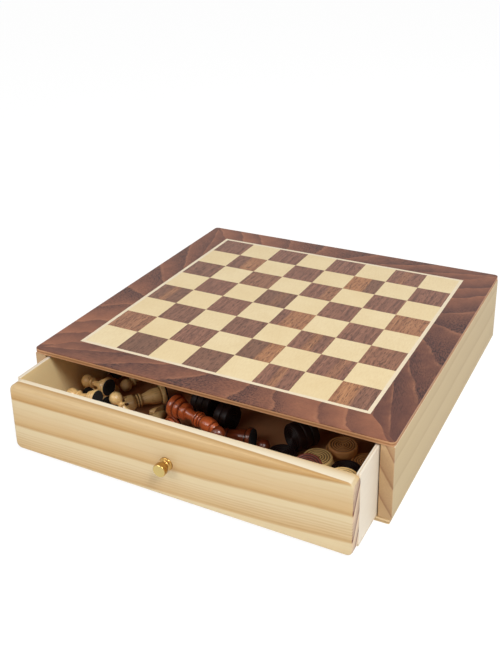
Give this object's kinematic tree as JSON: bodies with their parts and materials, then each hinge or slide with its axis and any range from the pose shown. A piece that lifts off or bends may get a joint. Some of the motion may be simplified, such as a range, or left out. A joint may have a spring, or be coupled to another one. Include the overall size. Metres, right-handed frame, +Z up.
{
  "type": "chess box with drawer",
  "caption": "Games box: veneered chess board on a shallow pine case, with a sliding drawer that holds chessmen and draughts.",
  "frame": {"origin": "centre of the case's underside, on the surface that the box stands on", "axes": "+Z up, the drawer opens towards -Y, +X to the right as seen from the drawer's side"},
  "size_m": [0.298, 0.351, 0.0657],
  "materials": {
    "plywood": "raw edge, sanded",
    "walnut_veneer": "satin lacquer",
    "maple_veneer": "satin lacquer",
    "pine": "satin lacquer",
    "pale_plywood": "sanded",
    "brass": "polished",
    "screw_steel": "zinc plated",
    "boxwood": "gloss lacquer",
    "red_stained_wood": "gloss lacquer",
    "dark_stained_wood": "gloss lacquer",
    "black_felt": "felt"
  },
  "bodies": {
    "case": {"board_core": "plywood", "walnut_border": "walnut_veneer", "stringing": "maple_veneer", "light_squares": "maple_veneer", "dark_squares": "walnut_veneer", "left_side_board": "pine", "right_side_board": "pine", "back_board": "pine", "bottom_panel": "plywood"},
    "drawer": {"drawer_front": "pine", "drawer_left_side": "pale_plywood", "drawer_right_side": "pale_plywood", "drawer_back": "pale_plywood", "drawer_floor": "pale_plywood", "knob": "brass", "knob_screw": "screw_steel", "light_pawns": "boxwood", "light_rooks": "boxwood", "light_knights": "boxwood", "light_bishops": "boxwood", "light_queen": "boxwood", "light_king": "boxwood", "red_pawns": "red_stained_wood", "red_rooks": "red_stained_wood", "red_knights": "red_stained_wood", "red_bishops": "red_stained_wood", "red_queen": "red_stained_wood", "red_king": "red_stained_wood", "light_felts": "black_felt", "red_felts": "black_felt", "light_draughts": "boxwood", "dark_draughts": "dark_stained_wood"}
  },
  "joints": [
    {"name": "drawer_slide", "type": "slide", "parent": "case", "child": "drawer", "axis": [0, -1, 0], "range_m": [-0.0445, 0.1555]}
  ]
}
